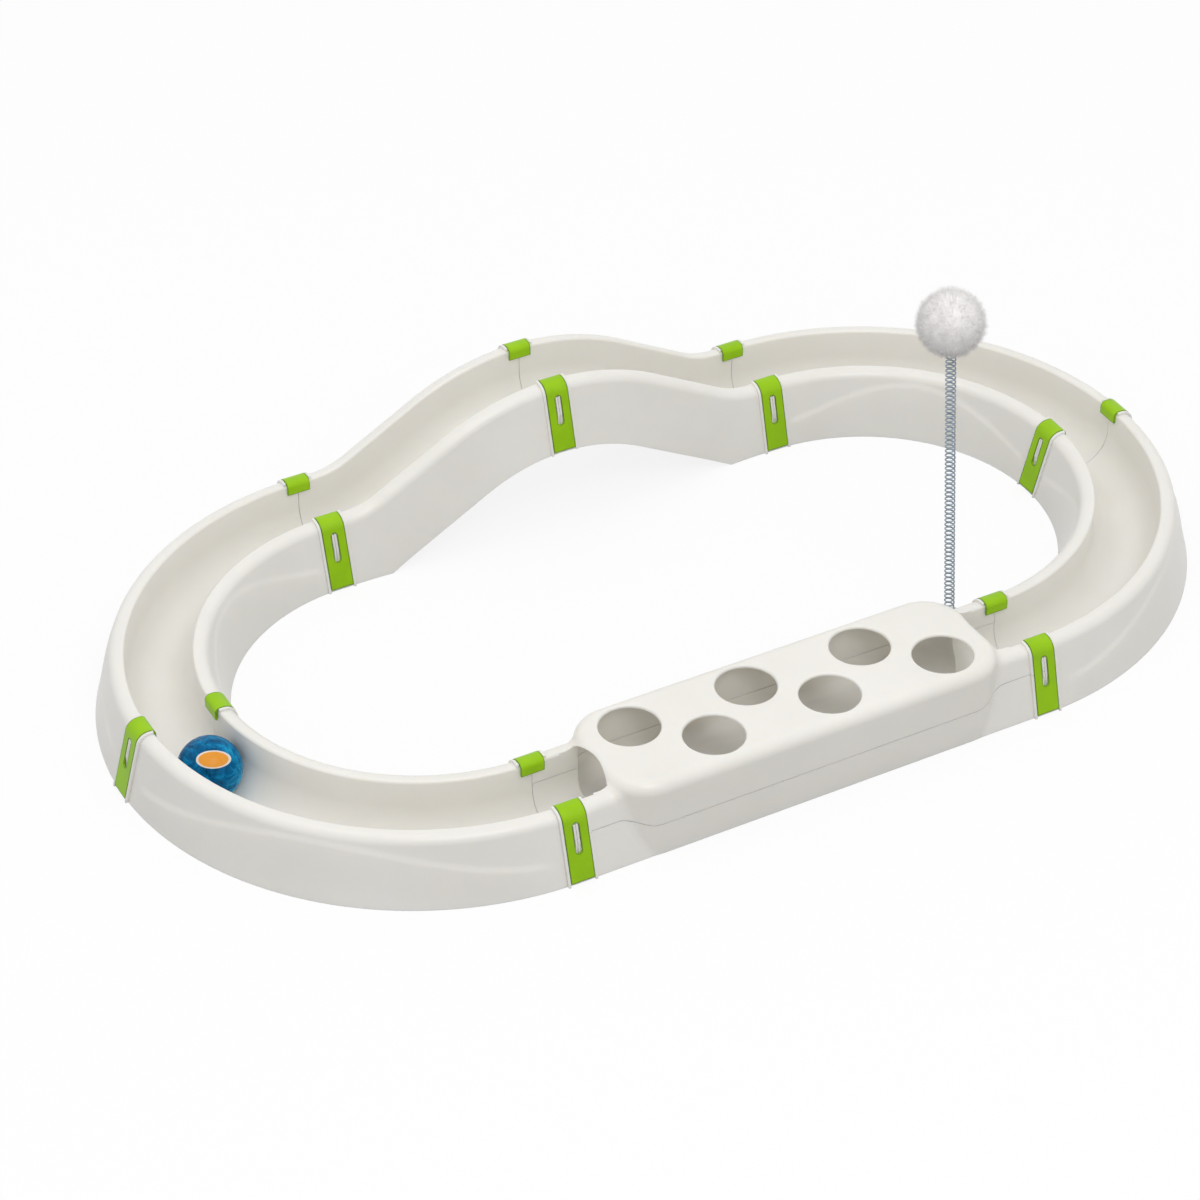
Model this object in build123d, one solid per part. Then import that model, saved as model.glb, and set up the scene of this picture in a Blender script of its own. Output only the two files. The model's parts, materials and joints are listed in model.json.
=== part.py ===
from build123d import *
import math
import os

# Ball track for cats: a closed loop of moulded track pieces held by clips, with a hill, a covered
# tunnel with paw holes, a ball that runs in the channel and a pompom on a spring wand.
# X runs along the two straights, Y towards the hill, Z up. The origin is the loop's centre on the floor.
# Lengths are in millimetres and angles in degrees.

# Loop
loop_radius = 168.0
straight_length = 336.0
joint_gap = 0.3

# Track section
channel_half_width = 21.5
channel_floor = 5.5
rim_height = 46.3
rim_width = 9.1
skirt_flare = 15.0
shoulder_radius = 7.0
lip_radius = 2.0
wall = 2.0

# Hill, whose dip has a share of the two bends' radii, measured along the rim
hill_height = 54.5
hill_lead_in = 13.0
ramp_slope = 28.6
dip_share = 0.23

# Clips, and the ribs and bars that hold them on the track ends
clip_width = 16.0
clip_thickness = 1.2
clip_gap = 0.5
clip_foot_height = 2.0
clip_hook_depth = 7.0
slot_width = 4.6
slot_low = 19.5
slot_high = 40.0
bar_width = 3.2
bar_height = 1.6
bar_clearance = 1.0
rib_width = 1.6
rib_height = 1.6
rib_clearance = 0.4
rib_setback = 0.6
fitting_bite = 1.0

# Tunnel
tunnel_end_length = 29.0
tunnel_side_step = 0.5
tunnel_corner_radius = 28.0
tunnel_rise = 8.1
tunnel_edge_radius = 8.0
tunnel_blend_radius = 10.0
trough_radius = 12.0
ceiling_radius = 6.0
mouth_rise = 7.0
seam_height = 23.0
seam_end_height = 29.5
seam_step_inset = 21.0
seam_step_run = 19.0
seam_bend_radius = 12.0
seam_gap = 0.45

# Paw holes
hole_radius = 19.5
hole_end_inset = 35.75
hole_row_offset = 16.0
hole_count = 6
hole_edge_radius = 1.5

# Ball with a loose bell inside
ball_radius = 20.5
ball_wall = 1.5
ball_float = 0.3
ball_rest_angle = 11.6
bell_radius = 7.0
bell_wall = 0.8
bell_slot_width = 1.6
bell_clearance = 0.5
pellet_radius = 2.2

# Spring wand, which leans towards a heading counted anticlockwise from X
wand_inset = 16.2
wand_offset = 47.0
wand_lean = 2.7
wand_heading = 151.6
socket_radius = 6.0
socket_height = 24.0
socket_floor = 4.0
socket_web_width = 8.0
socket_web_drop = 1.0
plug_radius = 4.0
plug_clearance = 0.05
plug_flange_radius = 5.6
plug_flange_height = 4.0
seat_gap = 0.2
spring_radius = 3.0
spring_wire = 1.0
spring_pitch = 3.35
spring_half_turns = 117
spring_lead = 3.0
core_radius = 5.0
core_height = 12.0
pompom_radius = 22.5
pompom_hole_gap = 0.2

half_straight = straight_length / 2
lean = math.tan(math.radians(skirt_flare))
slant = 1 / math.cos(math.radians(skirt_flare))
foot_half_width = channel_half_width + rim_width + rim_height * lean
far = 4 * foot_half_width
tunnel_half_length = half_straight - tunnel_end_length
tunnel_half_depth = foot_half_width + tunnel_side_step
tunnel_height = rim_height + tunnel_rise
up = Vector(0, 0, 1)
standing = (Align.CENTER, Align.CENTER, Align.MIN)
tolerance = 0.01

nodes = {}


# Track section, drawn with X across the track and Y upwards
def flared_outline(offset=0.0, below=0.0):
    """Filled outline of skirts, shoulders and rim, grown by an offset and drawn down below the floor."""
    top = rim_height + offset
    foot = foot_half_width + offset * slant
    low = foot + below * lean
    high = foot - top * lean
    outline = Polygon((-low, -below), (low, -below), (high, top), (-high, top), align=None)
    return fillet(outline.vertices().group_by(Axis.Y)[-1], shoulder_radius + offset)


def channel_outline(grow=0.0):
    """Upright channel walls over a half-round floor, open far above the rim."""
    half = channel_half_width + grow
    middle = Pos(0, channel_floor + channel_half_width)
    walls = middle * Rectangle(2 * half, far, align=(Align.CENTER, Align.MIN))
    return walls + middle * Circle(half)


def hollow_outline(below=0.0):
    """Space under the moulded skin."""
    return flared_outline(-wall, below + wall) - channel_outline(wall)


def track_body(below=0.0):
    """Filled outline with the channel cut into it, rounded at the channel's lips."""
    body = flared_outline(0, below) - channel_outline()
    top = body.vertices().group_by(Axis.Y)[-1]
    lips = [v for v in top if abs(v.X) < channel_half_width + lip_radius / 2]
    return fillet(lips, lip_radius)


def track_section(below=0.0):
    """Thin moulded skin: skirt, rim, channel, rim, skirt."""
    return track_body(below) - hollow_outline(below)


def band(left, right, low, high):
    """Rectangle between two places across the track and two heights."""
    return Pos(left, low) * Rectangle(right - left, high - low, align=(Align.MIN, Align.MIN))


def rib_outline():
    """Raised rib over the skirts and the rims, kept out of the channel."""
    inside = flared_outline(-fitting_bite, fitting_bite)
    channel = channel_half_width + rib_setback
    return flared_outline(rib_height) - inside - band(-channel, channel, -far, far)


def bar_outline():
    """Bars on both skirts, whose lower ends are wedges that let a clip slide up past them."""
    low = slot_low + bar_clearance
    high = slot_high - bar_clearance
    face = foot_half_width - low * lean
    skin = flared_outline(bar_height) - flared_outline(-fitting_bite, fitting_bite)
    return skin & (band(channel_half_width, face, low, high) + band(-face, -channel_half_width, low, high))


# Joints around the loop: place of the joint on the track's foot line, and the way out of the loop
joints = {
    "left": (Vector(-half_straight - loop_radius, 0, 0), Vector(-1, 0, 0)),
    "hill_start": (Vector(-half_straight, loop_radius, 0), Vector(0, 1, 0)),
    "crest": (Vector(0, loop_radius, hill_height), Vector(0, 1, 0)),
    "hill_end": (Vector(half_straight, loop_radius, 0), Vector(0, 1, 0)),
    "right": (Vector(half_straight + loop_radius, 0, 0), Vector(1, 0, 0)),
    "tunnel_right": (Vector(half_straight, -loop_radius, 0), Vector(0, -1, 0)),
    "tunnel_left": (Vector(-half_straight, -loop_radius, 0), Vector(0, -1, 0)),
}


def joint_plane(joint, sense):
    """Section plane at a joint; its normal runs on round the loop for sense 1 and back for sense -1."""
    place, outward = joints[joint]
    across = outward * sense
    return Plane(origin=place, x_dir=across, z_dir=across.cross(up))


def end_fittings(first, last):
    """Ribs and half bars at both ends of the piece between two joints."""
    fittings = []
    for joint, sense in ((first, 1), (last, -1)):
        plane = joint_plane(joint, sense)
        rib_start = clip_width / 2 + rib_clearance
        fittings += extrude(plane.offset(rib_start) * rib_outline(), amount=rib_width).solids()
        bar_start = joint_gap / 2
        half_bar = bar_width / 2 - bar_start
        fittings += extrude(plane.offset(bar_start) * bar_outline(), amount=half_bar).solids()
    return fittings


# Quarter curves
def curve(first, last, centre_x, start_angle):
    """Quarter of a curved end, turned clockwise seen from above."""
    trim = math.degrees(joint_gap / 2 / loop_radius)
    axis = Axis((centre_x, 0, 0), (0, 0, -1))
    angle = math.radians(start_angle - trim)
    across = Vector(math.cos(angle), math.sin(angle), 0)
    start = Vector(centre_x, 0, 0) + across * loop_radius
    plane = Plane(origin=start, x_dir=across, z_dir=across.cross(up))
    skin = revolve(plane * track_section(), axis, 90 - 2 * trim)
    return skin + end_fittings(first, last)


nodes["curve_back_left"] = curve("left", "hill_start", -half_straight, 180)
nodes["curve_back_right"] = curve("hill_end", "right", half_straight, 90)
nodes["curve_front_right"] = curve("right", "tunnel_right", half_straight, 0)
nodes["curve_front_left"] = curve("tunnel_left", "left", -half_straight, -90)


# Hill: crest arc, straight ramp, dip arc and flat lead-in, all at right angles to the track
def hill_skin():
    """Moulded skin from the crest down to the flat, on the side where X is positive."""
    run = half_straight - hill_lead_in
    ramp_angle = math.radians(ramp_slope)
    bow = 1 - math.cos(ramp_angle)
    bends = (run * math.sin(ramp_angle) - hill_height * math.cos(ramp_angle)) / bow
    ramp_length = (hill_height - bends * bow) / math.sin(ramp_angle)
    crest_foot = bends * (1 - dip_share) - rim_height
    dip_foot = bends * dip_share + rim_height
    top = joint_plane("crest", 1)
    crest_axis = Axis((0, loop_radius, hill_height - crest_foot), (0, 1, 0))
    crest = revolve(top * track_section(), crest_axis, ramp_slope)
    ramp_start = Vector(0, loop_radius, hill_height - crest_foot)
    ramp_start += Vector(math.sin(ramp_angle), 0, math.cos(ramp_angle)) * crest_foot
    along = Vector(math.cos(ramp_angle), 0, -math.sin(ramp_angle))
    slope = Plane(origin=ramp_start, x_dir=(0, 1, 0), z_dir=along)
    ramp = extrude(slope * track_section(), amount=ramp_length)
    flat = Plane(origin=(run, loop_radius, 0), x_dir=(0, 1, 0), z_dir=(1, 0, 0))
    corner = dip_foot * (1 / math.cos(ramp_angle / 2) - 1)
    drop = corner + wall
    dip = revolve(flat * track_section(drop), Axis((run, loop_radius, dip_foot), (0, 1, 0)), ramp_slope)
    under = band(-far, far, -far, 0)
    dip -= extrude(flat * under, amount=far, both=True)
    dip -= extrude(slope * under, amount=far, both=True)
    lead = extrude(flat * track_section(), amount=hill_lead_in - joint_gap / 2)
    gap = extrude(top * band(-far, far, -far, far), amount=joint_gap / 2)
    return crest + ramp + dip + lead - gap


falling_skin = hill_skin()
nodes["hill_fall"] = falling_skin + end_fittings("crest", "hill_end")
nodes["hill_rise"] = mirror(falling_skin, about=Plane.YZ) + end_fittings("hill_start", "crest")


def upright(radius, low, high):
    """Cylinder on the upright axis between two heights."""
    return Pos(0, 0, low) * Cylinder(radius, high - low, align=standing)


# Tunnel: a wide trough under a cover with paw holes, with the track section at both ends
tunnel_frame = Plane(origin=(0, -loop_radius, 0), x_dir=(0, 1, 0), z_dir=(1, 0, 0))
wand_foot = Pos(half_straight - wand_inset, -loop_radius + wand_offset)
wand_place = wand_foot * Rot(0, 0, wand_heading) * Rot(0, wand_lean, 0)


def both_ends(outline, start, stop):
    """One outline drawn along X over the same stretch at both ends of the tunnel."""
    right = extrude(tunnel_frame.offset(start) * outline, amount=stop - start)
    return right + mirror(right, about=Plane.YZ)


def tunnel_box(inset, low, high):
    """Upright box with rounded corners, inset from the tunnel's outside."""
    length = 2 * (tunnel_half_length - inset)
    depth = 2 * (tunnel_half_depth - inset)
    plan = RectangleRounded(length, depth, tunnel_corner_radius - inset)
    return extrude(Pos(0, -loop_radius, low) * plan, amount=high - low)


def rounded(box, group, radius):
    """The box with the edges of its lowest (0) or highest (-1) face rounded."""
    return fillet(box.edges().group_by(Axis.Z)[group], radius)


def hole_places():
    """Centres of the paw holes, in two rows that take turns along the tunnel."""
    first = hole_end_inset - tunnel_half_length
    pitch = -2 * first / (hole_count - 1)
    for k in range(hole_count):
        row = 1 if k % 2 == 0 else -1
        yield first + k * pitch, -loop_radius + row * hole_row_offset


def mouth_outline():
    """Channel under a low elliptical arch in the tunnel's end wall."""
    half = channel_half_width
    arch = Pos(0, rim_height) * Ellipse(half, mouth_rise)
    return channel_outline() & (arch + band(-half, half, -far, rim_height))


def wand_socket():
    """Round socket for the wand's plug, cut level with the floor, with a web to the skirt behind it."""
    tower = wand_place * upright(socket_radius, -socket_floor, socket_height)
    reach = wand_offset - channel_half_width
    web_height = socket_height - socket_web_drop
    web = Box(socket_web_width, reach, web_height, align=(Align.CENTER, Align.MAX, Align.MIN))
    below = Box(far, far, far, align=(Align.CENTER, Align.CENTER, Align.MAX))
    return tower + wand_foot * web - wand_foot * below


def tunnel_outside():
    """Box and track ends blended into each other, with the ball's passage cut through the end walls."""
    corner_start = tunnel_half_length - tunnel_corner_radius
    blend_end = tunnel_half_length + tunnel_blend_radius
    box = rounded(tunnel_box(0, 0, tunnel_height), -1, tunnel_edge_radius)
    ends = both_ends(flared_outline(), corner_start, blend_end)
    joined = box + ends
    outside = joined.fillet(tunnel_blend_radius, new_edges(box, ends, combined=joined))
    outside -= both_ends(mouth_outline(), tunnel_half_length - tunnel_edge_radius, tunnel_half_length)
    outside -= both_ends(channel_outline(), tunnel_half_length, blend_end)
    return outside + both_ends(track_body(), blend_end, half_straight - joint_gap / 2)


def tunnel_whole():
    """The tunnel before it is parted at its seam."""
    corner_start = tunnel_half_length - tunnel_corner_radius
    ceiling = tunnel_height - wall
    inside = rounded(tunnel_box(wall, channel_floor, ceiling), 0, trough_radius)
    inside = rounded(inside, -1, ceiling_radius)
    whole = tunnel_outside() + wand_socket()
    whole -= both_ends(hollow_outline(), corner_start, half_straight) - tunnel_box(0, 0, tunnel_height)
    whole -= inside
    whole -= tunnel_box(wall, -wall, channel_floor - wall)
    for x, y in hole_places():
        whole -= Pos(x, y, tunnel_height) * Cylinder(hole_radius, 4 * wall)
    rims = [e for e in whole.edges().filter_by(GeomType.CIRCLE)
            if abs(e.radius - hole_radius) < tolerance and abs(e.center().Z - tunnel_height) < tolerance]
    return fillet(rims, hole_edge_radius) + end_fittings("tunnel_right", "tunnel_left")


def under_seam():
    """Everything below the seam, which steps up towards the ends of the tunnel."""
    reach = 2 * half_straight
    step = tunnel_half_length - seam_step_inset
    step_end = step + seam_step_run
    outline = Polygon(
        (-reach, -far), (reach, -far), (reach, seam_end_height), (step_end, seam_end_height),
        (step, seam_height), (-step, seam_height),
        (-step_end, seam_end_height), (-reach, seam_end_height), align=None)
    bends = [v for v in outline.vertices() if abs(v.X) < reach - tolerance]
    outline = fillet(bends, seam_bend_radius)
    upright_plane = Plane(origin=(0, -loop_radius, 0), x_dir=(1, 0, 0), z_dir=(0, -1, 0))
    return extrude(upright_plane * outline, amount=far, both=True)


whole_tunnel = tunnel_whole()
lower_part = under_seam()
socket_bore = upright(plug_radius + plug_clearance, socket_floor, socket_floor + socket_height)
nodes["tunnel_base"] = (whole_tunnel & lower_part) - wand_place * socket_bore
nodes["tunnel_cover"] = whole_tunnel - Pos(0, 0, seam_gap) * lower_part


# Clips
def clip_outline():
    """Thin hook over one rim, from inside the channel down the skirt to near the floor."""
    inner_edge = channel_half_width - clip_gap
    outer_edge = inner_edge - clip_thickness
    shapes = []
    for offset, edge in ((clip_gap + clip_thickness, outer_edge), (clip_gap, inner_edge)):
        shape = flared_outline(offset, wall) & band(edge, far, -far, far)
        corner = [v for v in shape.vertices().group_by(Axis.Y)[-1] if v.X < edge + lip_radius]
        shapes.append(fillet(corner, lip_radius + offset))
    hook_end = rim_height - clip_hook_depth
    spare = band(0, channel_half_width + wall, -far, hook_end) + band(0, far, -far, clip_foot_height)
    return shapes[0] - shapes[1] - spare


def clip_body():
    """Clip on the outward side of a joint, with the slot for the two half bars."""
    hook = extrude(clip_outline(), amount=clip_width / 2, both=True)
    middle = (slot_low + slot_high) / 2
    skirt = Plane(origin=(channel_half_width + wall, middle, 0), x_dir=(0, 1, 0), z_dir=(1, 0, 0))
    return hook - extrude(skirt * SlotOverall(slot_high - slot_low, slot_width), amount=foot_half_width)


outer_clip = clip_body()
inner_clip = mirror(outer_clip, about=Plane.YZ)
for joint in joints:
    place = joint_plane(joint, 1).location
    nodes["clip_" + joint + "_outer"] = place * outer_clip
    nodes["clip_" + joint + "_inner"] = place * inner_clip


# Ball: two half shells and a bell that lies loose in the bottom
ball_angle = math.radians(180 + ball_rest_angle)
ball_out = Vector(math.cos(ball_angle), math.sin(ball_angle), 0)
ball_height = channel_floor + ball_float + ball_radius
ball_centre = Vector(-half_straight, 0, ball_height) + ball_out * loop_radius
ball_frame = Plane(origin=ball_centre, x_dir=up, z_dir=ball_out)
ball_shell = Sphere(ball_radius) - Sphere(ball_radius - ball_wall)
bell_drop = ball_radius - ball_wall - bell_clearance - bell_radius
bell_centre = ball_centre - up * bell_drop
pellet_drop = bell_radius - bell_wall - bell_clearance - pellet_radius
nodes["ball_outer_half"] = ball_frame.location * split(ball_shell, Plane.XY, keep=Keep.TOP)
nodes["ball_inner_half"] = ball_frame.location * split(ball_shell, Plane.XY, keep=Keep.BOTTOM)
bell_slot = Pos(0, 0, bell_radius) * Box(bell_slot_width, 2 * bell_radius, bell_radius)
nodes["ball_bell"] = Pos(bell_centre) * (Sphere(bell_radius) - Sphere(bell_radius - bell_wall) - bell_slot)
nodes["bell_pellet"] = Pos(bell_centre - up * pellet_drop) * Sphere(pellet_radius)


# Wand: plug, spring, core and pompom, one above the other, drawn upright and then put in place
flange_low = socket_height + seat_gap
plug_top = flange_low + plug_flange_height
pin = upright(plug_radius, socket_floor + seat_gap, flange_low)
nodes["wand_plug"] = wand_place * (pin + upright(plug_flange_radius, flange_low, plug_top))

helix_low = plug_top + spring_wire + spring_lead
helix_high = helix_low + spring_pitch * spring_half_turns / 2
spring_top = helix_high + spring_lead + spring_wire
quarter = math.pi / 2


def on_helix(angle):
    """Place and direction of the spring's wire after an angle along its coils."""
    radial = Vector(math.cos(angle), math.sin(angle), 0)
    height = helix_low + spring_pitch * angle / (2 * math.pi)
    way = up.cross(radial) * spring_radius + up * (spring_pitch / (2 * math.pi))
    return radial * spring_radius + up * height, way.normalized()


def over_plug(angle, height):
    """Place above the plug where the wire stands upright."""
    radial = Vector(math.cos(angle), math.sin(angle), 0)
    return radial * spring_radius + up * height


def biarc(first, first_way, last, last_way):
    """Two arcs that join two places with the given directions."""
    chord = last - first
    spread = 2 * (1 - first_way.dot(last_way))
    lean_in = chord.dot(first_way + last_way)
    reach = (math.sqrt(lean_in ** 2 + spread * chord.dot(chord)) - lean_in) / spread
    near = first + first_way * reach
    away = last - last_way * reach
    middle = (near + away) * 0.5
    return [TangentArc(first, middle, tangent=first_way), TangentArc(middle, last, tangent=away - near)]


def spring_path():
    """Upright end, half turns of wire one after another, upright end."""
    last_angle = spring_half_turns * math.pi
    stations = [on_helix(k * math.pi) for k in range(spring_half_turns + 1)]
    stations.insert(0, (over_plug(-quarter, plug_top + spring_wire), up))
    stations.append((over_plug(last_angle + quarter, helix_high + spring_lead), up))
    path = [Line(over_plug(-quarter, plug_top), stations[0][0])]
    for (first, first_way), (last, last_way) in zip(stations, stations[1:]):
        path += biarc(first, first_way, last, last_way)
    path.append(Line(stations[-1][0], over_plug(last_angle + quarter, spring_top)))
    return path


def least_spring_gap(path, steps=8):
    """Least gap between the wire's neighbouring coils, on points along the path."""
    points = [edge.position_at(k / steps) for edge in path for k in range(steps)]
    turn = 4 * steps
    gaps = []
    for k in range(len(points)):
        for other in points[k + turn // 2:k + 2 * turn]:
            gaps.append((points[k] - other).length - spring_wire)
    return min(gaps)


spring_edges = spring_path()
spring_start = Plane(origin=over_plug(-quarter, plug_top), z_dir=up)
nodes["wand_spring"] = wand_place * sweep(spring_start * Circle(spring_wire / 2), path=Wire(spring_edges))
print("least gap between the spring's coils", round(least_spring_gap(spring_edges), 3))

core_top = spring_top + core_height
pompom_height = core_top + pompom_radius - core_height - core_radius
pompom_hole = upright(core_radius + pompom_hole_gap, plug_top, core_top)
nodes["pompom_core"] = wand_place * upright(core_radius, spring_top, core_top)
nodes["pompom"] = wand_place * (Pos(0, 0, pompom_height) * Sphere(pompom_radius) - pompom_hole)

os.makedirs("parts", exist_ok=True)
for name, shape in nodes.items():
    export_step(shape, "parts/" + name + ".step")
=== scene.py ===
import bmesh
import bpy
import json
import math
import random
from mathutils import Matrix, Vector


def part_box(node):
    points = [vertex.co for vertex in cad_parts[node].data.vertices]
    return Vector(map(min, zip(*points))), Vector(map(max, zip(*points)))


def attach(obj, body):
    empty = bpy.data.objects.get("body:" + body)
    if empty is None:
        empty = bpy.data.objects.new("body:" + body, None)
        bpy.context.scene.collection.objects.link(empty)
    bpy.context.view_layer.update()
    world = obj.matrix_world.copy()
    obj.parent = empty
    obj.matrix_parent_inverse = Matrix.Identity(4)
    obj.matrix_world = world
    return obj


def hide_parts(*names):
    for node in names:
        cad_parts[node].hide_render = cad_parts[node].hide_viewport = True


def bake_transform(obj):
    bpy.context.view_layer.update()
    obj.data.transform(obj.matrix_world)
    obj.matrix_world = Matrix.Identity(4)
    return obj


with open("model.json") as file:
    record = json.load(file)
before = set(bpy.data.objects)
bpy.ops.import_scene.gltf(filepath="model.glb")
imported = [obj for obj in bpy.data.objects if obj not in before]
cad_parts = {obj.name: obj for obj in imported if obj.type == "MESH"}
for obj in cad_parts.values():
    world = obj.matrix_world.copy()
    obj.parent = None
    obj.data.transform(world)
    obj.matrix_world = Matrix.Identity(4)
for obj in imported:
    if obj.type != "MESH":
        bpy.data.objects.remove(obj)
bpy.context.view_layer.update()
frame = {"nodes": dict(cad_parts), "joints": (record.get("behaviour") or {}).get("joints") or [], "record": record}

# Sizes of the track in metres, the same as in the part's source
MM = 0.001
LOOP_RADIUS = 168 * MM
HALF_STRAIGHT = 168 * MM
JOINT_GAP = 0.3 * MM
CHANNEL_HALF_WIDTH = 21.5 * MM
CHANNEL_FLOOR = 5.5 * MM
RIM_HEIGHT = 46.3 * MM
RIM_WIDTH = 9.1 * MM
SKIRT_FLARE = math.radians(15)
SHOULDER_RADIUS = 7 * MM
LIP_RADIUS = 2 * MM
WALL = 2 * MM
CLIP_WIDTH = 16 * MM
SLOT_LOW = 19.5 * MM
SLOT_HIGH = 40 * MM
BAR_WIDTH = 3.2 * MM
BAR_HEIGHT = 1.6 * MM
BAR_CLEARANCE = 1 * MM
RIB_WIDTH = 1.6 * MM
RIB_HEIGHT = 1.6 * MM
RIB_CLEARANCE = 0.4 * MM
RIB_SETBACK = 0.6 * MM
FITTING_BITE = 1 * MM

# Soft crease in the skirts of the curves, in shares of the rim's height and of the curve's length
CREASE_HEIGHT = 0.7 * MM
CREASE_ABOVE = 5.5 * MM
CREASE_BELOW = 26 * MM
CREASE_END_SHARE = 0.30
CREASE_MIDDLE_SHARE = 0.78
CREASE_START = 0.04
CREASE_END_RUN = 0.05

# Spring of the wand
SPRING_RADIUS = 3 * MM
SPRING_PITCH = 3.35 * MM
SPRING_WIRE = 1 * MM
SPRING_LEAD = 4 * MM
SPRING_END_TURN = 0.25

# Pompom: its puff and fibres, in shares of its radius, and the waves whose product gives the tufts
PUFF_SHARE = 0.86
PUFF_TUFT_SHARE = 0.02
PUFF_TUFT_FINENESS = 1.0
FIBRE_COUNT = 12500
FIBRE_SEED = 7
FIBRE_ROOT_SHARE = 0.74
FIBRE_TIP_SHARE = 0.96
FIBRE_TIP_SPREAD = 0.05
FIBRE_TUFT_SHARE = 0.07
FIBRE_TUFT_FINENESS = 0.6
FIBRE_WAY_SPREAD = 0.05
FIBRE_DROOP = 0.11
FIBRE_WIDTH = 0.09 * MM
FIBRE_TAPER = 0.6
TUFT_WAVES = (Vector((31, 0, 17)), Vector((-13, 29, 0)), Vector((0, 11, 27)))
GOLDEN_ANGLE = math.pi * (3 - math.sqrt(5))

# Ball: two half shells with a fine groove where they meet, and a plain oval mark
BALL_WALL = 1.5 * MM
SEAM_GROOVE = 0.25 * MM
MARK_HALF_WIDTH = 10.5 * MM
MARK_HALF_HEIGHT = 5.5 * MM
MARK_RISE = 6 * MM
MARK_SHIFT = 4 * MM
MARK_INNER_SHARE = 0.86

# Fineness of the meshes, angles in degrees from which edges stay crisp, and the size taken as a point
CURVE_STEPS = 120
SKIRT_STEPS = 72
CHANNEL_STEPS = 20
ROUND_STEPS = 8
SPRING_SIDES = 10
SPRING_STEPS = 24
PUFF_SUBDIVISIONS = 5
FIBRE_RINGS = 3
FIBRE_SIDES = 3
BALL_STEPS = 96
TRACK_CRISP = 32
SPRING_CRISP = 60
BALL_CRISP = 40
POINT_SIZE = 0.001 * MM

# View of the photograph
VIEW_AZIMUTH = math.radians(-28.4545)
VIEW_ELEVATION = math.radians(37.0691)
VIEW_DISTANCE = 2.5217
VIEW_TARGET = Vector((-0.0239, 0.0315, 0))
VIEW_ROLL = math.radians(-0.245)
VIEW_LENS = 114.35
VIEW_REACH = 100
SENSOR = 36

# Floor, surroundings and lights
FLOOR_SIZE = 30
FLOOR_WHITE = 0.9
FLOOR_GLOW = 1.0
FLOOR_GLOW_SHARE = 0.86
FLOOR_BOUNCE = 0.35
SURROUND_LIGHT = 0.79
LIGHT_SIZE = 1.4
KEY_PLACE = Vector((-0.3, -1.6, 2.6))
KEY_POWER = 21
TOP_PLACE = Vector((-0.7, 0.3, 2.8))
TOP_POWER = 7

# Finish of the moulded plastic: clouds of tone, fine skin, soft glow, darker line of painted shade along crisp
# edges
CLOUD_LOW = 0.3
CLOUD_HIGH = 0.7
SKIN_SCALE = 1400.0
SKIN_DEPTH = 0.2 * MM
GLOW_RADIUS = (1.0, 0.85, 0.6)
GLOW_DEPTH = 4 * MM
EDGE_SHADE_WIDTH = 1.3 * MM
EDGE_SAMPLES = 6
EDGE_TURN_FULL = 0.85
EDGE_TURN_NONE = 0.98
EDGE_SHADE_STRENGTH = 0.9

# Finish of the ball: tones of its swirls, painted light that makes them lighter on one side, its mark, small
# flaws, glow inside
SWIRL_DEEP = (0.0003, 0.050, 0.105)
SWIRL_MIDDLE = (0.001, 0.130, 0.310)
SWIRL_PALE = (0.012, 0.345, 0.640)
PAINTED_LIGHT_RIGHT = 0.9
PAINTED_LIGHT_DOWN = 0.45
PAINTED_LIGHT_START = 0.55
PAINTED_LIGHT_SHARE = 0.20
MARK_ORANGE = (0.86, 0.36, 0.05)
MARK_EDGE = (0.80, 0.76, 0.70)
FLAW_STRENGTH = 0.08
FLAW_DEPTH = 0.3 * MM
BALL_ROUGHNESS = (0.08, 0.2)
BALL_GLOW_RADIUS = (0.2, 0.7, 1.0)
BALL_GLOW_DEPTH = 6 * MM
BALL_SHEEN = (0.05, 0.45, 0.90)

# Finish of the pompom
FLUFF_GREY = (0.86, 0.84, 0.83)
FLUFF_WHITE = (0.97, 0.955, 0.945)

# Values that follow from the ones above
LEAN = math.tan(SKIRT_FLARE)
SLANT = 1 / math.cos(SKIRT_FLARE)
FOOT_HALF_WIDTH = CHANNEL_HALF_WIDTH + RIM_WIDTH + RIM_HEIGHT * LEAN
UP = Vector((0, 0, 1))
VIEW_BACK = Vector((math.sin(VIEW_AZIMUTH) * math.cos(VIEW_ELEVATION),
                    -math.cos(VIEW_AZIMUTH) * math.cos(VIEW_ELEVATION), math.sin(VIEW_ELEVATION)))
VIEW_RIGHT = UP.cross(VIEW_BACK).normalized()
VIEW_UP = VIEW_BACK.cross(VIEW_RIGHT)
# Side of the ball that gets painted light, lower right as the camera sees it
PAINTED_LIGHT_SIDE = (VIEW_RIGHT * PAINTED_LIGHT_RIGHT - VIEW_UP * PAINTED_LIGHT_DOWN).normalized()

# Places of the moving pieces, from the joints
joints = {joint["name"]: joint for joint in frame["joints"]}
wand_foot = Vector(joints["wand_swivel"]["pos_m"])
wand_way = Vector(joints["wand_swivel"]["axis"]).normalized()
ball_centre = Vector(joints["ball_roll"]["pos_m"])
ball_out = Vector(joints["ball_roll"]["axis"]).normalized()
ball_low, ball_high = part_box("ball_outer_half")
ball_radius = (ball_high.z - ball_low.z) / 2


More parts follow.
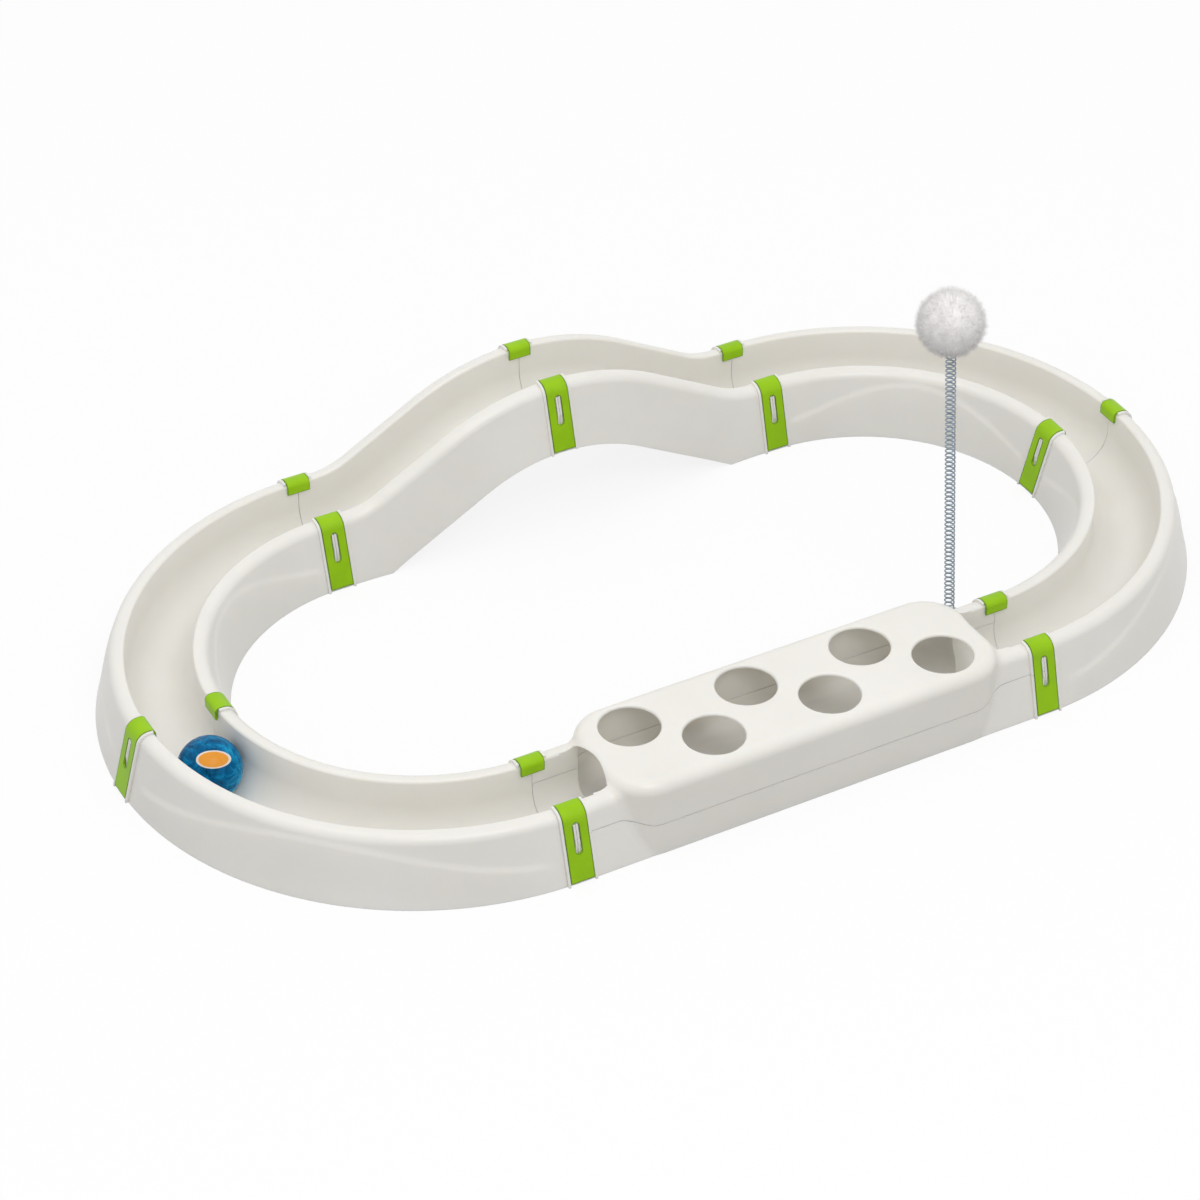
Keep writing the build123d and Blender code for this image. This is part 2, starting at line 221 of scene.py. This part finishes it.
# Materials
class Nodes:
    """Adds nodes to a tree and feeds their inputs from other nodes or with plain values."""

    def __init__(self, tree):
        self.tree = tree

    def feed(self, socket, value):
        """Links another node's output to an input, or sets a plain value on it."""
        if isinstance(value, bpy.types.NodeSocket):
            self.tree.links.new(value, socket)
        else:
            socket.default_value = value

    def feed_named(self, node, inputs):
        """Feeds inputs by their names, where an underscore may stand for a space."""
        for key, value in inputs.items():
            self.feed(node.inputs[key.replace("_", " ")], value)

    def feed_in_order(self, node, values):
        """Feeds the first inputs of a node in their order."""
        for socket, value in zip(node.inputs, values):
            self.feed(socket, value)

    def add(self, kind, **inputs):
        """A new node of a kind, with its inputs fed by name."""
        node = self.tree.nodes.new(kind)
        self.feed_named(node, inputs)
        return node

    def number(self, operation, *values):
        """Result of a sum with numbers."""
        node = self.add("ShaderNodeMath")
        node.operation = operation
        self.feed_in_order(node, values)
        return node.outputs["Value"]

    def vector(self, operation, *values):
        """Outputs of a sum with vectors."""
        node = self.add("ShaderNodeVectorMath")
        node.operation = operation
        self.feed_in_order(node, values)
        return node.outputs

    def along(self, point, way):
        """How far a point lies along a direction."""
        return self.vector("DOT_PRODUCT", point, way)["Value"]

    def spread(self, value, low, high, start=0.0, stop=1.0):
        """Number between low and high for a value between start and stop."""
        node = self.add("ShaderNodeMapRange", Value=value)
        self.feed_named(node, {"From Min": start, "From Max": stop, "To Min": low, "To Max": high})
        return node.outputs["Result"]

    def mix_colours(self, share, first, last):
        """Colour that goes from the first to the last with a share."""
        node = self.add("ShaderNodeMix")
        node.data_type = "RGBA"
        self.feed_named(node, {"Factor": share, "A": first, "B": (*last, 1)})
        return node.outputs["Result"]

    def mix_shaders(self, share, first, last):
        """Shader that goes from the first to the last with a share."""
        node = self.add("ShaderNodeMixShader")
        self.feed_in_order(node, (share, first, last))
        return node.outputs["Shader"]

    def seen_ray(self):
        """Number that is 1 for what is seen straight, in a reflection or through something clear."""
        path = self.add("ShaderNodeLightPath")
        ray = path.outputs["Is Camera Ray"]
        for kind in ("Is Glossy Ray", "Is Transmission Ray"):
            ray = self.number("MAXIMUM", ray, path.outputs[kind])
        return ray


class Look(Nodes):
    """A material whose nodes work in the object's own coordinates."""

    def __init__(self, name):
        self.material = bpy.data.materials.new(name)
        self.material.use_nodes = True
        super().__init__(self.material.node_tree)
        self.shader = self.tree.nodes["Principled BSDF"]
        self.place = self.add("ShaderNodeTexCoord").outputs["Object"]

    def shade(self, **inputs):
        """Feeds the shader's inputs by name."""
        self.feed_named(self.shader, inputs)

    def noise(self, **inputs):
        """Noise over the object."""
        return self.add("ShaderNodeTexNoise", Vector=self.place, **inputs).outputs["Fac"]

    def ramp(self, value, *stops):
        """Colour for a value, from stops of place and colour."""
        node = self.add("ShaderNodeValToRGB", Fac=value)
        elements = node.color_ramp.elements
        while len(elements) < len(stops):
            elements.new(0.5)
        for element, (place, colour) in zip(elements, stops):
            element.position = place
            element.color = (*colour, 1)
        return node.outputs["Color"]

    def relief(self, height, strength, depth):
        """Fine relief on the surface."""
        bump = self.add("ShaderNodeBump", Height=height, Strength=strength, Distance=depth)
        self.shade(Normal=bump.outputs["Normal"])

    def painted_edge_shade(self, colour, edge):
        """The colour with a darker line of painted shade along the crisp edges of a piece, standing for the shadow
        at its sides.
        """
        rounding = self.add("ShaderNodeBevel", Radius=EDGE_SHADE_WIDTH)
        rounding.samples = EDGE_SAMPLES
        flat = self.add("ShaderNodeNewGeometry").outputs["Normal"]
        turn = self.along(rounding.outputs["Normal"], flat)
        share = self.spread(turn, 0.0, EDGE_SHADE_STRENGTH, start=EDGE_TURN_NONE, stop=EDGE_TURN_FULL)
        return self.mix_colours(share, colour, edge)


def moulded_plastic(name, dark, light, roughness, grain, cloud_scale, shine=0.45, glow=0.0, edge=None):
    """Moulded plastic: faint clouds of tone, an uneven satin gloss, a fine skin and a soft glow."""
    look = Look(name)
    clouds = look.noise(Scale=cloud_scale, Detail=3.0, Roughness=0.55)
    colour = look.ramp(clouds, (CLOUD_LOW, dark), (CLOUD_HIGH, light))
    # Where an edge colour is given, a darker line of painted shade runs along the crisp edges
    if edge:
        colour = look.painted_edge_shade(colour, edge)
    look.shade(Base_Color=colour)
    look.shade(Roughness=look.spread(clouds, *roughness, start=CLOUD_LOW, stop=CLOUD_HIGH))
    look.relief(look.noise(Scale=SKIN_SCALE, Detail=2.0), grain, SKIN_DEPTH)
    look.shade(Specular_IOR_Level=shine)
    look.shade(Subsurface_Weight=glow, Subsurface_Radius=GLOW_RADIUS, Subsurface_Scale=GLOW_DEPTH)
    return look.material


def bare_metal(name, dark, light, roughness, scale, detail):
    """Metal with fine streaks or smears in its tone and gloss."""
    look = Look(name)
    streaks = look.noise(Scale=scale, Detail=detail)
    look.shade(Base_Color=look.ramp(streaks, (CLOUD_LOW, dark), (CLOUD_HIGH, light)))
    look.shade(Roughness=look.spread(streaks, *roughness), Metallic=1.0)
    return look.material


def oval_mark(look, from_middle, colour):
    """The colour with a plain oval mark and its pale edge on the side that the photograph shows."""
    sides = ((VIEW_RIGHT, MARK_SHIFT, MARK_HALF_WIDTH), (VIEW_UP, MARK_RISE, MARK_HALF_HEIGHT))
    across, upward = [look.number("SUBTRACT", look.along(from_middle, way / half), shift / half)
                      for way, shift, half in sides]
    spans = look.add("ShaderNodeCombineXYZ", X=across, Y=upward).outputs["Vector"]
    reach = look.vector("LENGTH", spans)["Value"]
    facing = look.number("GREATER_THAN", look.along(from_middle, VIEW_BACK), 0.0)
    for size, shade in ((1.0, MARK_EDGE), (MARK_INNER_SHARE, MARK_ORANGE)):
        inside = look.number("LESS_THAN", reach, size)
        colour = look.mix_colours(look.number("MULTIPLY", inside, facing), colour, shade)
    return colour


def clear_blue():
    """Clear blue plastic with swirls of deeper and lighter colour, painted light that lightens them towards one
    side, small flaws and a plain oval mark.
    """
    look = Look("ball_blue")
    from_middle = look.vector("SUBTRACT", look.place, ball_centre)["Vector"]
    # Painted light: the swirls grow lighter towards the ball's lower right side as the camera sees it, standing
    # for light that comes through the clear ball
    painted_light = look.spread(look.along(from_middle, PAINTED_LIGHT_SIDE / ball_radius), 0.0, PAINTED_LIGHT_SHARE, start=PAINTED_LIGHT_START)
    swirls = look.number("ADD", look.noise(Scale=70.0, Detail=5.0, Roughness=0.65, Distortion=1.6), painted_light)
    colour = look.ramp(swirls, (0.36, SWIRL_DEEP), (0.52, SWIRL_MIDDLE), (0.70, SWIRL_PALE))
    flaws = look.noise(Scale=260.0, Detail=3.0)
    look.shade(Base_Color=oval_mark(look, from_middle, colour))
    look.shade(Roughness=look.spread(flaws, *BALL_ROUGHNESS))
    look.relief(flaws, FLAW_STRENGTH, FLAW_DEPTH)
    look.shade(IOR=1.5, Specular_IOR_Level=0.04, Transmission_Weight=0.1)
    look.shade(Subsurface_Weight=0.3, Subsurface_Radius=BALL_GLOW_RADIUS, Subsurface_Scale=BALL_GLOW_DEPTH)
    look.shade(Sheen_Weight=0.15, Sheen_Roughness=0.2, Sheen_Tint=(*BALL_SHEEN, 1))
    return look.material


def white_fluff():
    """Soft white fibre with a faint sheen and slightly greyer tufts."""
    look = Look("pompom_fluff")
    tufts = look.noise(Scale=150.0, Detail=4.0)
    look.shade(Base_Color=look.ramp(tufts, (0.36, FLUFF_GREY), (0.6, FLUFF_WHITE)))
    look.shade(Roughness=0.9, Sheen_Weight=0.5)
    return look.material


SLOT_MATERIALS = {
    "track_white": moulded_plastic(
        "track_white", dark=(0.810, 0.786, 0.735), light=(0.845, 0.824, 0.776),
        roughness=(0.28, 0.38), grain=0.05, cloud_scale=14.0, glow=0.3),
    # The clips' edge colour is a dark green of painted shade, standing for the shadow in the gaps beside the ribs
    "clip_green": moulded_plastic(
        "clip_green", dark=(0.268, 0.520, 0.001), light=(0.315, 0.585, 0.002),
        roughness=(0.28, 0.40), grain=0.06, cloud_scale=60.0, shine=0.25, edge=(0.035, 0.110, 0.002)),
    "wand_plastic": moulded_plastic(
        "wand_plastic", dark=(0.74, 0.74, 0.72), light=(0.80, 0.80, 0.78),
        roughness=(0.38, 0.50), grain=0.06, cloud_scale=90.0),
    "spring_steel": bare_metal(
        "spring_steel", dark=(0.18, 0.23, 0.28), light=(0.42, 0.48, 0.54),
        roughness=(0.25, 0.45), scale=600.0, detail=4.0),
    "bell_metal": bare_metal(
        "plated_bell", dark=(0.62, 0.60, 0.55), light=(0.78, 0.77, 0.74),
        roughness=(0.12, 0.3), scale=220.0, detail=3.0),
    "ball_blue": clear_blue(),
    "pompom_fluff": white_fluff(),
}


def paint(obj, material):
    """Gives an object one material."""
    obj.data.materials.clear()
    obj.data.materials.append(material)


for part in frame["record"]["subparts"]:
    paint(frame["nodes"][part["node"]], SLOT_MATERIALS[part["material_slot"]])


# Mesh helpers
def new_piece(name, mesh, slot, node):
    """Adds a finished mesh to the scene as a piece that stands for a CAD node."""
    obj = bpy.data.objects.new(name, mesh)
    bpy.context.scene.collection.objects.link(obj)
    paint(obj, SLOT_MATERIALS[slot])
    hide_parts(node)
    return obj


def smooth(mesh, crisp_angle=None):
    """Smooth shading, where the edges sharper than a given angle stay crisp."""
    mesh.polygons.foreach_set("use_smooth", [True] * len(mesh.polygons))
    if crisp_angle:
        mesh.set_sharp_from_angle(angle=math.radians(crisp_angle))


def built_mesh(name, build):
    """A mesh from what was built, which is then freed."""
    mesh = bpy.data.meshes.new(name)
    build.to_mesh(mesh)
    build.free()
    return mesh


def tube_mesh(name, verts, faces):
    """A mesh with outward normals from points and faces."""
    draft = bpy.data.meshes.new(name + "_draft")
    draft.from_pydata([tuple(v) for v in verts], [], faces)
    build = bmesh.new()
    build.from_mesh(draft)
    bpy.data.meshes.remove(draft)
    bmesh.ops.recalc_face_normals(build, faces=build.faces)
    return built_mesh(name, build)


def add_tube(verts, faces, rings):
    """Joins closed rings of points into a tube with flat ends."""
    start = len(verts)
    count = len(rings[0])
    for ring in rings:
        verts.extend(ring)
    for k in range(len(rings) - 1):
        for i in range(count):
            a = start + k * count + i
            b = start + k * count + (i + 1) % count
            faces.append((a, b, b + count, a + count))
    faces.append([start + i for i in reversed(range(count))])
    last = start + (len(rings) - 1) * count
    faces.append([last + i for i in range(count)])


def circle(centre, radius, first, second, count):
    """Points round a circle, from the first direction towards the second."""
    turns = [2 * math.pi * k / count for k in range(count)]
    return [centre + (first * math.cos(turn) + second * math.sin(turn)) * radius for turn in turns]


def arc(centre, radius, start, stop, steps):
    """Points on an arc between two angles, both ends included."""
    turns = [start + (stop - start) * k / steps for k in range(steps + 1)]
    return [(centre[0] + radius * math.cos(turn), centre[1] + radius * math.sin(turn)) for turn in turns]


def line(first, last, steps):
    """Points on a line, both ends included."""
    return [(first[0] + (last[0] - first[0]) * k / steps, first[1] + (last[1] - first[1]) * k / steps)
            for k in range(steps + 1)]


def soft_step(t):
    """Smooth rise from 0 to 1."""
    t = min(1.0, max(0.0, t))
    return t * t * (3 - 2 * t)


# Track section: points across the track (d) and above the floor (z), on the side where d is positive
def skirt_at(height, offset=0.0):
    """Distance from the middle of the track to the skirt at a height, grown by an offset."""
    return FOOT_HALF_WIDTH + offset * SLANT - height * LEAN


def shoulder_and_skirt(offset, steps):
    """Points from the start of the shoulder down the skirt to the floor, grown by an offset."""
    radius = SHOULDER_RADIUS + offset
    top = RIM_HEIGHT + offset
    reach = radius * math.tan((math.pi / 2 - SKIRT_FLARE) / 2)
    centre = (skirt_at(top, offset) - reach, top - radius)
    bend = arc(centre, radius, math.pi / 2, SKIRT_FLARE, ROUND_STEPS)
    return bend[:-1] + line(bend[-1], (skirt_at(0, offset), 0), steps)


def upper_half():
    """Upper skin from the middle of the channel floor to the foot of the skirt."""
    middle = (0, CHANNEL_FLOOR + CHANNEL_HALF_WIDTH)
    floor = arc(middle, CHANNEL_HALF_WIDTH, -math.pi / 2, 0, CHANNEL_STEPS)
    lip_centre = (CHANNEL_HALF_WIDTH + LIP_RADIUS, RIM_HEIGHT - LIP_RADIUS)
    lip = arc(lip_centre, LIP_RADIUS, math.pi, math.pi / 2, ROUND_STEPS)
    return floor + lip + shoulder_and_skirt(0, SKIRT_STEPS)


def lower_half():
    """Under side of the skin from the foot of the skirt back to the middle."""
    middle = (0, CHANNEL_FLOOR + CHANNEL_HALF_WIDTH)
    floor = arc(middle, CHANNEL_HALF_WIDTH + WALL, 0, -math.pi / 2, CHANNEL_STEPS)
    corner = [(CHANNEL_HALF_WIDTH + WALL, RIM_HEIGHT - WALL)]
    return shoulder_and_skirt(-WALL, 1)[::-1] + corner + floor


def section_loop():
    """Closed section of the moulded skin, with a flag on the points of the upper skin."""
    right = [(d, z, True) for d, z in upper_half()] + [(d, z, False) for d, z in lower_half()]
    left = [(-d, z, flag) for d, z, flag in reversed(right[1:-1])]
    return right + left


def crease(share, d, z):
    """How far the skirt swells at a share of the curve: a soft ledge that is highest at the middle."""
    if abs(d) < skirt_at(RIM_HEIGHT) or z > RIM_HEIGHT - SHOULDER_RADIUS / 2:
        return 0.0
    wave = math.sin(math.pi * share) ** 2
    fold = RIM_HEIGHT * (CREASE_END_SHARE + (CREASE_MIDDLE_SHARE - CREASE_END_SHARE) * wave)
    strength = CREASE_HEIGHT * soft_step((min(share, 1 - share) - CREASE_START) / CREASE_END_RUN)
    if z > fold:
        return strength * soft_step(1 - (z - fold) / CREASE_ABOVE)
    return strength * soft_step(1 - (fold - z) / min(CREASE_BELOW, fold))


def rib_half():
    """Rib over one rim and skirt."""
    edge = CHANNEL_HALF_WIDTH + RIB_SETBACK
    outer = [(edge, RIM_HEIGHT + RIB_HEIGHT)] + shoulder_and_skirt(RIB_HEIGHT, 1)
    inner = shoulder_and_skirt(-FITTING_BITE, 1)[::-1] + [(edge, RIM_HEIGHT - FITTING_BITE)]
    return outer + inner


def bar_half():
    """Bar on one skirt, with a wedge at its lower end."""
    low = SLOT_LOW + BAR_CLEARANCE
    high = SLOT_HIGH - BAR_CLEARANCE
    face = skirt_at(low)
    meet = (skirt_at(0, BAR_HEIGHT) - face) / LEAN
    outer = [(skirt_at(high, BAR_HEIGHT), high), (face, meet), (face, low)]
    inner = [(skirt_at(low, -FITTING_BITE), low), (skirt_at(high, -FITTING_BITE), high)]
    return outer + inner


def add_fittings(verts, faces, origin, across, along):
    """Ribs and half bars at one end of a piece."""
    rib_start = CLIP_WIDTH / 2 + RIB_CLEARANCE
    stretches = [
        (rib_half(), rib_start, rib_start + RIB_WIDTH),
        (bar_half(), JOINT_GAP / 2, BAR_WIDTH / 2),
    ]
    for outline, start, stop in stretches:
        for side in (1, -1):
            points = [origin + across * (side * d) + UP * z for d, z in outline]
            add_tube(verts, faces, [[p + along * s for p in points] for s in (start, stop)])


def curve_piece(node, centre_x, start):
    """Quarter curve with soft creases in its skirts, turned clockwise seen from above."""
    centre = Vector((centre_x, 0, 0))
    quarter = math.pi / 2
    trim = JOINT_GAP / 2 / LOOP_RADIUS
    loop = section_loop()
    verts, faces, rings = [], [], []
    for k in range(CURVE_STEPS + 1):
        share = k / CURVE_STEPS
        angle = start - trim - share * (quarter - 2 * trim)
        across = Vector((math.cos(angle), math.sin(angle), 0))
        ring = []
        for d, z, skin in loop:
            swell = crease(share, d, z) if skin else 0.0
            outward = d + math.copysign(swell, d)
            ring.append(centre + across * (LOOP_RADIUS + outward) + UP * (z + swell * LEAN))
        rings.append(ring)
    add_tube(verts, faces, rings)
    for angle, sense in ((start, 1), (start - quarter, -1)):
        across = Vector((math.cos(angle), math.sin(angle), 0))
        add_fittings(verts, faces, centre + across * LOOP_RADIUS, across, across.cross(UP) * sense)
    name = node + "_skin"
    mesh = tube_mesh(name, verts, faces)
    smooth(mesh, TRACK_CRISP)
    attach(new_piece(name, mesh, "track_white", node), "root")


# Spring, coiled between the plug and the pompom
def spring_path(low, high):
    """Middle of the wire round the wand's axis, with its ends turned along the wand."""
    turns = (high - low - 2 * SPRING_LEAD) / SPRING_PITCH
    steps = int(turns * SPRING_STEPS)
    lead_steps = SPRING_STEPS // 2
    path = []
    for k in range(-lead_steps, steps + lead_steps + 1):
        if k < 0:
            share = 1 + k / lead_steps
            turn = -SPRING_END_TURN * (1 - share) ** 2
            height = low + SPRING_LEAD * share
        elif k > steps:
            share = (k - steps) / lead_steps
            turn = turns + SPRING_END_TURN * (1 - (1 - share) ** 2)
            height = high - SPRING_LEAD * (1 - share)
        else:
            turn = turns * k / steps
            height = low + SPRING_LEAD + SPRING_PITCH * turn
        angle = 2 * math.pi * turn
        path.append(Vector((SPRING_RADIUS * math.cos(angle), SPRING_RADIUS * math.sin(angle), height)))
    return path


def spring_piece():
    """Coiled wire from the plug into the pompom."""
    heights = [(v.co - wand_foot).dot(wand_way) for v in frame["nodes"]["wand_spring"].data.vertices]
    low, high = min(heights), max(heights)
    path = spring_path(low, high)
    verts, faces, rings = [], [], []
    for k, point in enumerate(path):
        way = (path[min(k + 1, len(path) - 1)] - path[max(k - 1, 0)]).normalized()
        side = way.cross(Vector((point.x, point.y, 0))).normalized()
        rings.append(circle(point, SPRING_WIRE / 2, side.cross(way), side, SPRING_SIDES))
    add_tube(verts, faces, rings)
    mesh = tube_mesh("spring_coil", verts, faces)
    mesh.transform(Matrix.Translation(wand_foot) @ UP.rotation_difference(wand_way).to_matrix().to_4x4())
    smooth(mesh, SPRING_CRISP)
    coil = new_piece("spring_coil", mesh, "spring_steel", "wand_spring")
    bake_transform(coil)


# Pompom: a soft puff under short fibres that stand out all round
def tuft_at(way, fineness):
    """Height of the tufts in one direction from the middle, from -1 to 1."""
    return math.prod(math.sin(fineness * way.dot(wave)) for wave in TUFT_WAVES)


def add_fibre(build, draw, centre, radius, way):
    """One fibre that stands out near a direction, droops a little and tapers to its tip."""
    way = (way + Vector([draw.uniform(-FIBRE_WAY_SPREAD, FIBRE_WAY_SPREAD) for _ in range(3)])).normalized()
    side = way.orthogonal().normalized()
    side.rotate(Matrix.Rotation(draw.uniform(0, 2 * math.pi), 3, way))
    reach = FIBRE_TIP_SHARE + draw.uniform(-FIBRE_TIP_SPREAD, FIBRE_TIP_SPREAD)
    reach += FIBRE_TUFT_SHARE * tuft_at(way, FIBRE_TUFT_FINENESS)
    droop = draw.uniform(0, FIBRE_DROOP)
    last = None
    for k in range(FIBRE_RINGS):
        share = k / (FIBRE_RINGS - 1)
        point = centre + way * radius * (FIBRE_ROOT_SHARE + (reach - FIBRE_ROOT_SHARE) * share)
        point += side * radius * droop * share * share
        width = FIBRE_WIDTH * (1 - FIBRE_TAPER * share)
        corners = [build.verts.new(p) for p in circle(point, width, side, way.cross(side), FIBRE_SIDES)]
        if last is None:
            build.faces.new(corners[::-1])
        else:
            for i in range(FIBRE_SIDES):
                after = (i + 1) % FIBRE_SIDES
                build.faces.new((last[i], last[after], corners[after], corners[i]))
        last = corners
    build.faces.new(last)


def pompom_piece():
    """Fluffy ball in the place of the plain one."""
    low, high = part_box("pompom")
    radius = (high.x - low.x) / 2
    centre = Vector(((low.x + high.x) / 2, (low.y + high.y) / 2, high.z - radius))
    draw = random.Random(FIBRE_SEED)
    build = bmesh.new()
    bmesh.ops.create_icosphere(build, subdivisions=PUFF_SUBDIVISIONS, radius=radius * PUFF_SHARE)
    for vert in build.verts:
        way = vert.co.normalized()
        vert.co += way * radius * PUFF_TUFT_SHARE * tuft_at(way, PUFF_TUFT_FINENESS)
        vert.co += centre
    for k in range(FIBRE_COUNT):
        height = 1 - 2 * (k + 0.5) / FIBRE_COUNT
        ring = math.sqrt(1 - height * height)
        turn = k * GOLDEN_ANGLE
        way = Vector((ring * math.cos(turn), ring * math.sin(turn), height))
        add_fibre(build, draw, centre, radius, way)
    mesh = built_mesh("pompom_puff", build)
    smooth(mesh)
    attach(new_piece("pompom_puff", mesh, "pompom_fluff", "pompom"), "wand_head")


# Ball: its two half shells
def shell_outline():
    """Distance from the axis and height of points up a half shell's outside and down its inside."""
    rings = BALL_STEPS // 4
    turns = [math.pi / 2 * k / rings for k in range(rings + 1)]
    outside = [(math.cos(turn) * ball_radius, math.sin(turn) * ball_radius) for turn in turns]
    outside[0] = (ball_radius - SEAM_GROOVE, 0)
    inner = ball_radius - BALL_WALL
    inside = [(math.cos(turn) * inner, math.sin(turn) * inner) for turn in reversed(turns)]
    return outside + inside


def ball_half(name, node, out):
    """Half of the ball's shell, on the side that the direction points to."""
    side = out.cross(UP).normalized()
    top = side.cross(out)
    build = bmesh.new()
    loops = []
    for reach, height in shell_outline():
        middle = ball_centre + out * height
        points = [middle] if reach < POINT_SIZE else circle(middle, reach, side, top, BALL_STEPS)
        loops.append([build.verts.new(point) for point in points])
    loops.append(loops[0])
    for first, last in zip(loops, loops[1:]):
        if len(first) == 1 and len(last) == 1:
            continue
        for i in range(BALL_STEPS):
            after = (i + 1) % BALL_STEPS
            if len(last) == 1:
                build.faces.new((first[i], first[after], last[0]))
            elif len(first) == 1:
                build.faces.new((first[0], last[after], last[i]))
            else:
                build.faces.new((first[i], first[after], last[after], last[i]))
    bmesh.ops.recalc_face_normals(build, faces=build.faces)
    mesh = built_mesh(name, build)
    smooth(mesh, BALL_CRISP)
    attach(new_piece(name, mesh, "ball_blue", node), "ball_shell")


curve_piece("curve_back_left", -HALF_STRAIGHT, math.pi)
curve_piece("curve_back_right", HALF_STRAIGHT, math.pi / 2)
curve_piece("curve_front_right", HALF_STRAIGHT, 0)
curve_piece("curve_front_left", -HALF_STRAIGHT, -math.pi / 2)
spring_piece()
pompom_piece()
ball_half("ball_outer_shell", "ball_outer_half", ball_out)
ball_half("ball_inner_shell", "ball_inner_half", -ball_out)


# Floor, light and camera
def floor_plane():
    """Floor that looks white with a faint shadow and sends little light back up."""
    bpy.ops.mesh.primitive_plane_add(size=FLOOR_SIZE, location=(0, 0, 0))
    floor = bpy.context.object
    floor.name = "floor"
    material = bpy.data.materials.new("floor_white")
    material.use_nodes = True
    material.node_tree.nodes.clear()
    nodes = Nodes(material.node_tree)
    bright = nodes.add("ShaderNodeBsdfDiffuse", Color=(*[FLOOR_WHITE] * 3, 1)).outputs["BSDF"]
    glow = nodes.add("ShaderNodeEmission", Color=(1, 1, 1, 1), Strength=FLOOR_GLOW).outputs["Emission"]
    dull = nodes.add("ShaderNodeBsdfDiffuse", Color=(*[FLOOR_BOUNCE] * 3, 1)).outputs["BSDF"]
    seen = nodes.mix_shaders(FLOOR_GLOW_SHARE, bright, glow)
    nodes.add("ShaderNodeOutputMaterial", Surface=nodes.mix_shaders(nodes.seen_ray(), dull, seen))
    paint(floor, material)


def soft_light(name, place, power):
    """Round soft light that points at the middle of the loop."""
    lamp = bpy.data.lights.new(name, "AREA")
    lamp.shape = "DISK"
    lamp.size = LIGHT_SIZE
    lamp.energy = power
    obj = bpy.data.objects.new(name, lamp)
    obj.location = place
    obj.rotation_euler = (-place).to_track_quat("-Z", "Y").to_euler()
    bpy.context.scene.collection.objects.link(obj)


def surroundings():
    """Even pale light from all round, white where it is seen."""
    world = bpy.data.worlds.new("studio")
    world.use_nodes = True
    nodes = Nodes(world.node_tree)
    strength = nodes.spread(nodes.seen_ray(), SURROUND_LIGHT, 1.0)
    nodes.feed_named(world.node_tree.nodes["Background"], {"Color": (1, 1, 1, 1), "Strength": strength})
    bpy.context.scene.world = world


def camera():
    """Camera at the photograph's viewing angle."""
    data = bpy.data.cameras.new("camera")
    data.lens = VIEW_LENS
    data.sensor_width = SENSOR
    data.clip_end = VIEW_REACH
    obj = bpy.data.objects.new("camera", data)
    obj.location = VIEW_TARGET + VIEW_BACK * VIEW_DISTANCE
    turn = (-VIEW_BACK).to_track_quat("-Z", "Y").to_matrix() @ Matrix.Rotation(VIEW_ROLL, 3, "Z")
    obj.rotation_euler = turn.to_euler()
    bpy.context.scene.collection.objects.link(obj)
    bpy.context.scene.camera = obj


floor_plane()
surroundings()
soft_light("key", KEY_PLACE, KEY_POWER)
soft_light("top", TOP_PLACE, TOP_POWER)
camera()
bpy.context.scene.view_settings.view_transform = "Standard"
